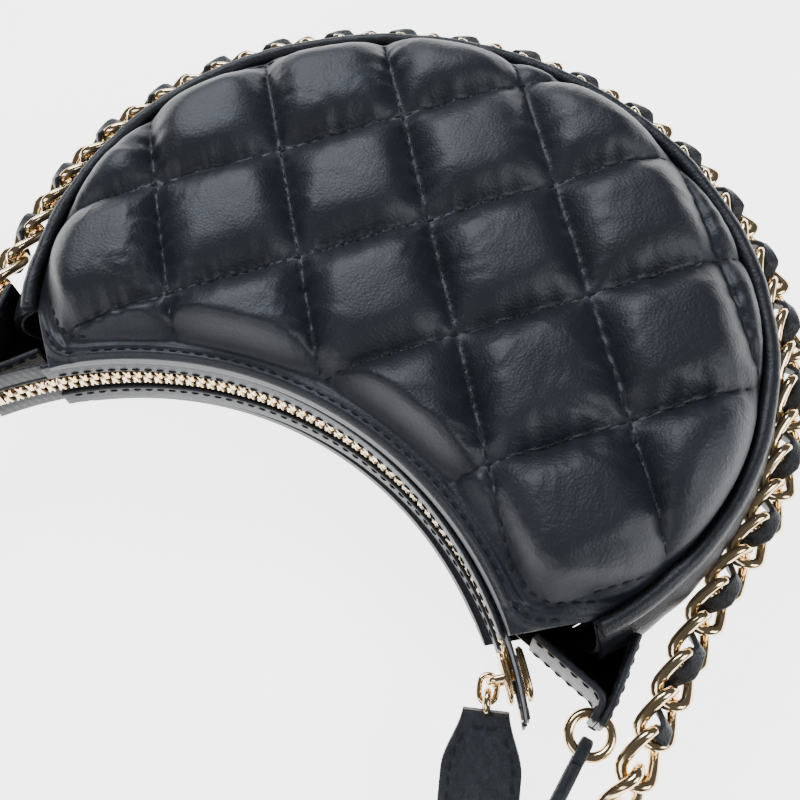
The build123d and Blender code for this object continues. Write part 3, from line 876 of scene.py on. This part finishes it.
shoulder_path = rounded_route(shoulder_points())
shoulder_run = run_of(shoulder_path)
share = smooth(np.minimum(shoulder_run, shoulder_run[-1] - shoulder_run), 4, 40)[:, None]
side_way = np.where(shoulder_path[:, :1] > 0, 1.0, -1.0) * np.array((1.0, 0, 0))
shoulder_ups = upright * (0.75 + 0.25 * share) + side_way * 0.65 * (1 - share)
first = bar_reach - (link_width / 2 - link_wire)
chain, pitch = chain_piece("shoulder_curb_chain", shoulder_path, shoulder_ups, first)
dress(chain, "shoulder_chain", pale_gold, ["shoulder_chain"])
lace = woven_lace("shoulder_woven_lace", shoulder_path, shoulder_ups, first, pitch, 12.0,
                  shoulder_run[-1] - 12.0)
dress(lace, "shoulder_chain", lace_skin, ["shoulder_lace"])


# Piping

both_sides = (("front", front_seam, 1, "front_side"), ("back", back_seam, -1, "bag"))

for side, seam, way, body in both_sides:
    share = np.linspace(0, 1, 520)
    z = seam + way * 1.6
    plan = edge_place(share)
    wander = noise_at(share * 30, way, 0) * 0.35
    plan = edge_place(share, -0.1) + (edge_place(share, 1.0) - edge_place(share)) * wander[:, None]
    wave = noise_at(share * 26, 5.0, 0) * 0.3
    line = np.column_stack((plan[:, 0] + slip(z), plan[:, 1], z + wave))
    girth = 1 + 0.06 * noise_at(share * 90, 2.0, 0)
    cord = swept(f"{side}_piping_cord", line, round_section(1.7, 14), lift=girth)
    dress(cord, body, smooth_skin, [f"{side}_piping"])


# Gusset

def gusset_shell(name, offset, thickness, rows, ruffle):
    """The bulging band between the two seams."""
    share = np.linspace(0, 1, rows)
    up = np.linspace(0, 1, 17)
    z = 10.75 + (29.0 - 10.75) * up
    bulge = 5.5 * (1 - np.abs(2 * up - 1) ** 2.2)
    rings = []
    for depth, order in ((0.0, slice(None)), (thickness, slice(None, None, -1))):
        for index in range(17)[order]:
            soft = noise_at(share * 55, up[index] * 1.3, offset)
            soft = ruffle * soft * math.sin(math.pi * up[index])
            out = bulge[index] - offset - depth
            plan = edge_place(share, out) + (edge_place(share, 1.0) - edge_place(share)) * soft[:, None]
            rings.append(np.column_stack((plan[:, 0] + slip(z[index]), plan[:, 1], np.full(rows, z[index]))))
    ring = np.stack(rings, 1)
    return shell(name, ring)


for name, offset, thickness, material, slot in (
        ("gusset_leather", 0.0, 1.2, smooth_skin, "smooth_leather"),
        ("gusset_lining", 1.35, 0.5, lining_twill, "lining_cloth")):
    band = gusset_shell(f"{name}_band", offset, thickness, 420, 0.55)
    band.data.materials.append(material)
    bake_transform(band)
    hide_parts(name)


# Linings of the panels

def lining_sheet(side, seam, way):
    share = np.linspace(0.012, 0.988, 160)
    step = np.linspace(0, 1, 60)
    inner, outer = mouth_place(share, 1.7), edge_place(share, -3.7)
    plan = inner[:, None] * (1 - step[None, :, None]) + outer[:, None] * step[None, :, None]
    soft = noise_at(plan[..., 0] / 12, plan[..., 1] / 12, way) * 0.12
    levels = []
    for height in (0.22, 0.62):
        z = seam + way * (height + soft)
        levels.append(np.stack((plan[..., 0] + slip(z), plan[..., 1], z), -1))
    ring = np.concatenate((levels[0], levels[1][:, ::-1]), 1)
    return shell(f"{side}_lining_sheet", ring)


for side, seam, way, body in both_sides:
    dress(lining_sheet(side, seam, way), body, lining_twill, [f"{side}_panel_lining"])


def pocket():
    """A flat pocket that is open towards the mouth."""
    loops = [(-18.0, 31.0, 3.05)] + [(y, 31.0, 3.1) for y in np.linspace(-16, 12, 8)]
    loops += [(15.5, 31.0, 2.7), (17.3, 30.8, 1.7), (18.0, 30.4, 0.6), (17.0, 29.8, 0.2), (15.0, 30.1, 1.5)]
    loops += [(y, 30.2, 2.3) for y in np.linspace(12, -16, 8)] + [(-18.0, 30.25, 2.35)]
    angles = np.linspace(0, 2 * math.pi, 48, endpoint=False)
    low = back_seam + 0.1
    places = []
    for y, wide, high in loops:
        c, s = np.cos(angles), np.sin(angles)
        x = wide * np.sign(c) * np.abs(c) ** 0.35
        z = high * np.sign(s) * np.abs(s) ** 0.55
        soft = 0.25 * noise_at(x / 9, y / 9, z) * (s > 0)
        places.append(np.column_stack((x + slip(low), x * 0 + 28.0 + y, low + 3.1 + z + soft)))
    piece = mesh_piece("slip_pocket_cloth", np.concatenate(places), closed_round(len(places), 48))
    outward(piece)
    return piece


dress(pocket(), "bag", lining_twill, ["slip_pocket"])


# Zip

zip_middle = np.array((slide_middle, mouth_centre[1], middle))


tape_end = 52.5      # degrees from the middle of the zip


def zip_arc(radius, start, end, height, steps):
    """A line along the zip at a radius and at a height from the zip's middle."""
    angle = np.radians(np.linspace(start, end, steps))
    return np.column_stack((zip_middle[0] + radius * np.sin(angle), zip_middle[1] + radius * np.cos(angle),
                            np.full(steps, middle + height)))


def tooth_row(side, way):
    """Y-shaped metal teeth whose heads pass the middle of the zip, between those of the other row."""
    outline = np.array(((-0.40, -0.45), (0.40, -0.45), (0.60, 0.15), (0.60, 1.15), (1.0, 2.75), (0.55, 2.9),
                        (0.0, 1.75), (-0.55, 2.9), (-1.0, 2.75), (-0.60, 1.15), (-0.60, 0.15)))
    centre = outline.mean(axis=0)
    step = math.degrees(tooth_pitch / zip_radius)
    count = int(98.5 / step)
    places, faces = [], []
    for index in range(count):
        turn = math.radians(-50 + step * (index + 0.5 + 0.25 * way))
        radial = np.array((math.sin(turn), math.cos(turn), 0))
        along = np.array((math.cos(turn), -math.sin(turn), 0))
        start = index * 44
        for depth, shrink in ((-0.95, 0.8), (-0.6, 1.0), (0.6, 1.0), (0.9, 0.85)):
            shape = centre + (outline - centre) * shrink
            places.append(zip_middle + radial * (zip_radius + depth) + shape[:, :1] * along
                          + shape[:, 1:] * way * upright)
        faces += grid_faces(4, 11, start=start, around=True)
        faces += [tuple(start + k for k in range(11)), tuple(start + 43 - k for k in range(11))]
    piece = mesh_piece(f"{side}_zip_tooth_row", np.concatenate(places), faces)
    for polygon in piece.data.polygons:
        polygon.use_smooth = False
    outward(piece)
    return piece


for side, _, way, body in both_sides:
    strip_line = zip_arc(84.6, -42, 42, way * 6.6, 200)
    strip = swept(f"{side}_mouth_band", strip_line, strip_section(1.2, 5.3, 0.5, 4))
    tape_line = zip_arc(85.55, -tape_end, tape_end, way * 5.7, 230)
    tape = swept(f"{side}_woven_tape", tape_line, strip_section(0.5, 5.6, 0.2))
    bead_line = zip_arc(85.5, -tape_end, tape_end, way * 2.75, 230)
    bead = swept(f"{side}_tape_bead", bead_line, round_section(0.55, 10))
    tape = join([tape, bead], f"{side}_woven_tape")
    teeth = tooth_row(side, way)
    line = zip_arc(83.95, -41.5, 41.5, way * 5.1, 300)
    inwards = zip_arc(0, 0, 0, way * 5.1, 1) - line
    inwards /= np.linalg.norm(inwards, axis=1, keepdims=True)
    beads = stitches_along(line, inwards, length=2.0, gap=0.7, thread=0.24)
    thread = stitch_piece(f"{side}_band_thread", beads)
    parts = ((strip, "smooth_leather", smooth_skin, [f"{side}_mouth_strip"]),
             (tape, "zip_tape", tape_weave, [f"{side}_zip_tape"]),
             (teeth, "zip_metal", zip_gold, [f"{side}_zip_teeth"]),
             (thread, "smooth_leather", thread_fibre, []))
    for piece, slot, material, replaced in parts:
        dress(piece, body, material, replaced)


# Slider

def zip_frame(degrees, radius):
    """Along, towards the mouth's centre, and up, at a place on the zip."""
    turn = math.radians(degrees)
    radial = np.array((math.sin(turn), math.cos(turn), 0))
    along = np.array((math.cos(turn), -math.sin(turn), 0))
    return zip_middle + radial * radius, along, -radial


slider_angle = 46.5


def slider_plate(name, near, far, widen):
    """A shield-shaped plate with rolled sides, between two radii."""
    outline = np.array(((-5.1, -1.5), (-5.1, 1.5), (-4.2, 2.9), (-2.0, 3.5), (0.5, 3.6), (3.2, 3.6),
                        (4.7, 3.1), (5.2, 1.6), (4.4, 0.5), (4.4, -0.5), (5.2, -1.6), (4.7, -3.1),
                        (3.2, -3.6), (0.5, -3.6), (-2.0, -3.5), (-4.2, -2.9))) * np.array((-1.0, 1.0))
    levels = np.linspace(near, far, 5)
    places = []
    for index, radius in enumerate(levels):
        shrink = (0.9, 0.98, 1.0, 0.98, 0.9)[index]
        bent = [zip_frame(slider_angle + math.degrees(p / zip_radius), radius)[0] + upright * q
                for p, q in outline * shrink * widen]
        places.append(np.array(bent))
    piece = mesh_piece(name, np.concatenate(places), closed_rows(5, 16))
    outward(piece)
    return piece


def slider_rail(name, side, near, far):
    """A rolled side of the slider, which curls over the tape."""
    line = []
    for p in np.linspace(-4.6, 3.6, 12):
        high = np.interp(p, (-4.6, 0.0, 3.6), (3.38, 3.42, 3.36))
        centre = zip_frame(slider_angle + math.degrees(p / zip_radius), (near + far) / 2)[0]
        line.append(centre + upright * side * high)
    return swept(name, np.array(line), strip_section(abs(far - near), 0.75, 0.25), up=upright)


parts = [slider_plate("face", 83.05, 84.1, 1.0), slider_plate("under", 86.9, 87.95, 1.0)]
for side in (-1, 1):
    parts.append(slider_rail("rail", side, 84.0, 84.5))
    parts.append(slider_rail("rail", side, 86.5, 87.0))
dress(join(parts, "slider_body"), "slider", pale_gold, ["zip_slider"])

bail_reach = 80.1
corners = []
for radius, high in ((83.4, 3.0), (bail_reach + 0.2, 3.0), (bail_reach + 0.2, -3.0), (83.4, -3.0)):
    corners.append(zip_frame(slider_angle, radius)[0] + upright * high)
bail_line = rounded_route(corners, 0.3)
bail = swept("slider_staple", bail_line, round_section(0.72, 12), up=zip_frame(slider_angle, 80)[1])
dress(bail, "slider", pale_gold, ["slider_bail"])


# Pull

pull_turn = math.radians(-66)
pull_way = np.array((math.cos(pull_turn), math.sin(pull_turn), 0))
pull_side = np.array((-math.sin(pull_turn), math.cos(pull_turn), 0))
bail_place = zip_frame(slider_angle, bail_reach)[0]
loop_centre = bail_place + pull_way * (6.4 / 2 - 1.2 - 0.7 - 0.3)
loop = []
for turn in np.linspace(0, 2 * math.pi, 40, endpoint=False):
    c, s = math.cos(turn), math.sin(turn)
    run = 0.9 * np.sign(c) * min(1, abs(c) * 2.2)
    loop.append(loop_centre + pull_way * (run + 1.7 * c) + pull_side * 1.7 * s)
loop = swept("pull_loop", np.array(loop), round_section(0.6, 12), closed=True)
dress(loop, "pull_link", pale_gold, ["pull_link"])

tab_hinge = loop_centre + pull_way * 2.6
tab_matrix = Matrix.Translation(Vector(tab_hinge * MM)) @ Matrix.Rotation(pull_turn, 4, "Z") @ \
    Matrix.Rotation(math.radians(22.5), 4, "Y")


def put(piece, matrix):
    piece.data.transform(matrix)
    piece.data.update()
    return piece


turns = np.linspace(0, 2 * math.pi, 36, endpoint=False)
eye_line = np.column_stack((2.0 * np.cos(turns), turns * 0, 2.0 * np.sin(turns)))
eye = swept("eye", eye_line, round_section(0.8, 12), up=(0, 1, 0), closed=True)
shank = swept("shank", np.column_stack((np.linspace(2.0, 6.0, 6), np.zeros(6), np.linspace(0, 2.4, 6))),
              strip_section(2.4, 1.2, 0.3))
eye = put(join([eye, shank], "pull_eye_and_shank"), tab_matrix)
dress(eye, "pull_tab", pale_gold, ["pull_eye"])


tab_start = 1.3


def tab_half(run):
    """Half of the tab's width, with rounded lower corners."""
    half = 4.3 + 3.2 * smooth(run, 0.5, 12.0)
    corner = np.clip((run - 44.8) / 3.2, 0, 1)
    return half - 3.2 * (1 - np.sqrt(1 - corner ** 2))


def tab_sag(run):
    """The tab arches between its head and its foot."""
    return 3.2 * np.sin(np.clip((run - tab_start) / (48 - tab_start), 0, 1) ** 0.75 * math.pi) + 0.6


def tab_place(run, side, way):
    puffed = 0.9 + 0.42 * (1 - np.abs(side) ** 4) * np.clip(1 - ((run - 26) / 24) ** 8, 0, 1)
    soft = 0.13 * noise_at(run / 6, side * 1.6, way)
    return np.stack((run, side * tab_half(run), tab_sag(run) + way * (0.05 + puffed + soft)), -1)


def tab_layer(name, way):
    run = np.linspace(tab_start, 48.0, 120)
    side = np.sin(np.linspace(-1, 1, 34) * math.pi / 2)
    u, v = np.meshgrid(run, side, indexing="ij")
    face = tab_place(u, v, way)
    flat = np.stack((u, v * tab_half(u), tab_sag(u) + way * 0.05), -1)[:, ::-1]
    edge = np.stack((u, v * (tab_half(u) + 0.12), tab_sag(u) + way * 0.5), -1)
    ring = np.concatenate((face, edge[:, -1:], flat, edge[:, :1]), 1)
    return put(shell(name, ring), tab_matrix)


dress(tab_layer("pull_tab_upper_leather", 1), "pull_tab", strap_skin, ["pull_tab_face"])
dress(tab_layer("pull_tab_under_leather", -1), "pull_tab", strap_skin, ["pull_tab_back"])
beads = []
for way in (1, -1):
    run = np.linspace(4.0, 46.4, 150)
    for side in (-1, 1):
        inner = side * (1 - 1.5 / tab_half(run))
        line = tab_place(run, inner, way)
        beads += stitches_along(line, np.tile(upright * way, (150, 1)), length=2.0, gap=0.75, thread=0.27)
    for start in (4.0, 46.4):
        side = np.linspace(-0.75, 0.75, 30)
        line = tab_place(np.full(30, start), side, way)
        beads += stitches_along(line, np.tile(upright * way, (30, 1)), length=2.0, gap=0.75, thread=0.27)
dress(put(stitch_piece("pull_tab_thread", beads), tab_matrix), "pull_tab", thread_fibre)


# Tongues

def tongue_route(sign, gusset):
    beside = sign * (1 if gusset else -1) * (1.4 + 0.3) / 2
    end = tip_place(sign)[:2] + np.array((beside, 0.7))
    if gusset:
        start = horn_outer_bulged + horn_out * (0.7 + 0.8)
        start = np.array((sign * start[0] + slide_middle, start[1]))
    else:
        angle = sign * (math.degrees(mouth_corner_angle) + 1.4)
        start = around_from(zip_middle[:2], zip_radius + 5.2, angle)
    bend = end + np.array((0, 4.5))
    route = [(*start, middle), (*bend, middle), (*end, middle)]
    return rounded_route(route, 0.4)


bulged = side_radius + 5.5 - 1.2
beyond = horn_inner - np.array(side_centre)
reach_along = beyond @ horn_along
root = math.sqrt(reach_along ** 2 - beyond @ beyond + bulged ** 2)
horn_outer_bulged = horn_inner + horn_along * (root - reach_along)

for sign, name in ((1, "right"), (-1, "left")):
    for gusset, kind in ((False, "mouth"), (True, "gusset")):
        line = tongue_route(sign, gusset)
        run = run_of(line)
        tall = 1 - 0.35 * smooth(run, run[-1] - 7.0, run[-1]) ** 2
        section = strip_section(1.4, 13.0, 0.6, 5)
        wave = noise_at(run / 7, sign, gusset) * 0.25
        line = line + np.column_stack((wave, wave * 0, wave * 0))
        narrowing = np.stack((tall * 0 + 1, tall), -1)
        piece = swept(f"{kind}_tongue_{name}_leather", line, section, lift=narrowing)
        dress(piece, "bag", smooth_skin, [f"{kind}_tongue_{name}"])
        beads = []
        along = np.gradient(line, axis=0)
        outside = np.cross(along, upright)
        outside /= np.linalg.norm(outside, axis=1, keepdims=True)
        for way in (-1, 1):
            for high in (-5.1, 5.1):
                seam_line = line + outside * way * 0.7 + upright * (high * tall)[:, None]
                beads += stitches_along(seam_line, outside * way, length=2.0, gap=0.75, thread=0.25)
        dress(stitch_piece(f"{kind}_tongue_{name}_thread", beads), "bag", thread_fibre)


def horn_floor(sign, name):
    """The leather that closes a horn's underside, between its two tongues."""
    mouth_side = tongue_route(sign, False)[:, :2]
    gusset_side = tongue_route(sign, True)[:, :2]
    steps = np.linspace(0, 1, 24)
    first = at_run(mouth_side, run_of(mouth_side), steps * run_of(mouth_side)[-1])
    second = at_run(gusset_side, run_of(gusset_side), steps * run_of(gusset_side)[-1])
    share = np.linspace(0, 1, 14)
    plan = first[:, None] * (1 - share[None, :, None]) + second[:, None] * share[None, :, None]
    inset = plan[:1] - (plan[4:5] - plan[:1]) * 1.6
    plan = np.concatenate((inset, plan), 0)
    dip = 1.6 * np.sin(math.pi * share)[None, :] * np.sin(math.pi * np.linspace(0.5, 1, 25))[:, None]
    levels = [np.concatenate((plan, (13.2 + thick - dip)[..., None]), 2) for thick in (0.0, 1.0)]
    ring = np.concatenate((levels[0], levels[1][:, ::-1]), 1)
    dress(shell(f"horn_floor_{name}", ring), "bag", smooth_skin)


horn_floor(1, "right")
horn_floor(-1, "left")


# Crossbody strap

def ridged_section():
    """A strap on its edge, with a rolled bead along each edge and one along its middle."""
    high = np.linspace(-6.4, 6.4, 33)
    thick = 0.72 + 0.5 * np.exp(-((np.abs(high) - 5.2) / 1.1) ** 2) + 0.4 * np.exp(-(high / 1.2) ** 2)
    thick *= np.sqrt(np.clip(1 - (np.abs(high) / 6.52) ** 14, 0.02, 1))
    return np.concatenate((np.column_stack((thick, high)), np.column_stack((-thick, high))[::-1]))


strap_on_floor = ((81, -79), (86, -100), (89, -122), (86, -142), (76, -152), (66, -142), (64, -124),
                  (60, -112), (50, -116), (48, -132), (44, -150), (30, -160), (10, -161), (-10, -164),
                  (-30, -162), (-48, -152), (-58, -136), (-70, -122), (-78, -104), (-79, -90))
strap_height = 0.3 + 6.5
strap_section_shape = ridged_section()
strap_path = rounded_route([(x, y, strap_height) for x, y in strap_on_floor])
strap = swept("strap_middle_leather", strap_path, strap_section_shape)
dress(strap, "crossbody_strap", strap_skin, ["strap_middle"])
beads = []
along = np.gradient(strap_path, axis=0)
outside = np.cross(along, upright)
outside /= np.linalg.norm(outside, axis=1, keepdims=True)
for way in (-1, 1):
    for high in (-3.2, 3.2):
        seam_line = strap_path + outside * way * 0.74 + upright * high
        beads += stitches_along(seam_line, outside * way, thread=0.24)
dress(stitch_piece("strap_middle_thread", beads), "crossbody_strap", thread_fibre)

for sign, name in ((1, "right"), (-1, "left")):
    bar = ring_bar(sign)
    floor_end = strap_path[0] if sign > 0 else strap_path[-1]
    onward = (strap_path[3] - strap_path[0]) if sign > 0 else (strap_path[-4] - strap_path[-1])
    onward /= np.linalg.norm(onward)
    neck = bar + np.array((0, -9.0, 0))
    knots = [bar + np.array((0, -2.4, 0)), neck, neck + np.array((0, -3.0, -1.0)),
             floor_end - onward * 3, floor_end]
    line = rounded_route(knots, 0.4)
    run = run_of(line)
    tall = 0.44 + 0.08 * smooth(run, 0, 4) + 0.48 * smooth(run, 7.0, run[-1] - 1)
    ribbon = swept("ribbon", line, strap_section_shape, lift=np.stack((tall * 0 + 1, tall), -1))
    turns = np.linspace(0, 2 * math.pi, 40, endpoint=False)
    around_bar = np.column_stack((turns * 0, 2.45 * np.cos(turns), 2.45 * np.sin(turns))) + bar
    eye = swept("eye", around_bar, strip_section(1.75, 2.4, 0.6, 4), up=(1, 0, 0), closed=True)
    dress(join([ribbon, eye], f"strap_end_{name}_leather"), "crossbody_strap", strap_skin,
          [f"strap_end_{name}"])

dress_node("zip_bottom_stop", zip_gold)
dress_node("zip_top_stop", zip_gold)
dress_node("tip_ring_right", pale_gold)
dress_node("tip_ring_left", pale_gold)
for name, material in (
        ("zip_slider", pale_gold), ("slider_bail", pale_gold), ("pull_link", pale_gold),
        ("pull_eye", pale_gold), ("gusset_chain", pale_gold), ("shoulder_chain", pale_gold),
        ("front_zip_teeth", zip_gold), ("back_zip_teeth", zip_gold), ("front_zip_tape", tape_weave),
        ("back_zip_tape", tape_weave), ("front_panel_padding", wadding), ("back_panel_padding", wadding),
        ("slip_pocket", lining_twill), ("front_panel_lining", lining_twill),
        ("back_panel_lining", lining_twill), ("gusset_lining", lining_twill),
        ("front_panel_leather", lambskin), ("back_panel_leather", lambskin), ("gusset_lace", lace_skin),
        ("shoulder_lace", lace_skin), ("pull_tab_face", strap_skin), ("pull_tab_back", strap_skin),
        ("strap_middle", strap_skin), ("strap_end_right", strap_skin), ("strap_end_left", strap_skin)):
    dress_node(name, material)
for name in ("front_piping", "back_piping", "front_mouth_strip", "back_mouth_strip", "gusset_leather",
             "mouth_tongue_right", "mouth_tongue_left", "gusset_tongue_right", "gusset_tongue_left"):
    dress_node(name, smooth_skin)


# Floor, light and camera

floor_material, floor_tree, floor_shader, floor_where = blank_material("pale_floor")
paper = node(floor_tree, "ShaderNodeTexNoise", in_Scale=8.0, in_Detail=2.0)
floor_tree.links.new(floor_where.outputs["Object"], paper.inputs["Vector"])
paper_ramp = ramp_between(floor_tree, 0.3, 0.7, (0.88, 0.88, 0.885), (0.92, 0.92, 0.92))
floor_tree.links.new(paper.outputs["Fac"], paper_ramp.inputs["Fac"])
floor_tree.links.new(paper_ramp.outputs["Color"], floor_shader.inputs["Base Color"])
floor_shader.inputs["Roughness"].default_value = 0.75
floor_tree.links.new(paper_ramp.outputs["Color"], floor_shader.inputs["Emission Color"])
floor_shader.inputs["Emission Strength"].default_value = 4.0
deselect()
bpy.ops.mesh.primitive_plane_add(size=30, location=(0, 0, 0))
floor = bpy.context.object
floor.name = "floor"
floor.data.materials.append(floor_material)


def area_light(name, place, target, size, power, colour=(1, 1, 1)):
    data = bpy.data.lights.new(name, "AREA")
    data.shape = "RECTANGLE"
    data.size, data.size_y = size
    data.energy = power
    data.color = colour
    light = bpy.data.objects.new(name, data)
    bpy.context.scene.collection.objects.link(light)
    light.location = place
    light.rotation_euler = (Vector(target) - Vector(place)).to_track_quat("-Z", "Y").to_euler()
    return light


area_light("key", (-0.55, 0.45, 0.75), (0, 0, 0.02), (0.55, 0.4), 10.0, (0.84, 0.91, 1.0))
area_light("fill", (0.7, 0.1, 0.6), (0, -0.03, 0.02), (0.4, 0.5), 5.0, (0.9, 0.95, 1.0))
area_light("front", (-0.1, -0.7, 0.55), (0, -0.05, 0.02), (0.7, 0.3), 3.0, (0.95, 0.97, 1.0))

world = bpy.data.worlds.new("studio")
bpy.context.scene.world = world
world.use_nodes = True
world.node_tree.nodes["Background"].inputs["Color"].default_value = (1, 1, 1, 1)
world.node_tree.nodes["Background"].inputs["Strength"].default_value = 0.1

camera_data = bpy.data.cameras.new("camera")
camera_data.sensor_width = 36
camera_data.lens = 45.43
camera = bpy.data.objects.new("camera", camera_data)
bpy.context.scene.collection.objects.link(camera)
looking = Vector((-0.258, 0.334, -0.907)).normalized()
above = Vector((-0.45, 0.789, 0.418))
above = (above - looking * above.dot(looking)).normalized()
across = looking.cross(above)
camera.matrix_world = Matrix.Translation((0.0661, -0.0864, 0.2194)) @ Matrix((
    (across.x, above.x, -looking.x), (across.y, above.y, -looking.y),
    (across.z, above.z, -looking.z))).to_4x4()
bpy.context.scene.camera = camera
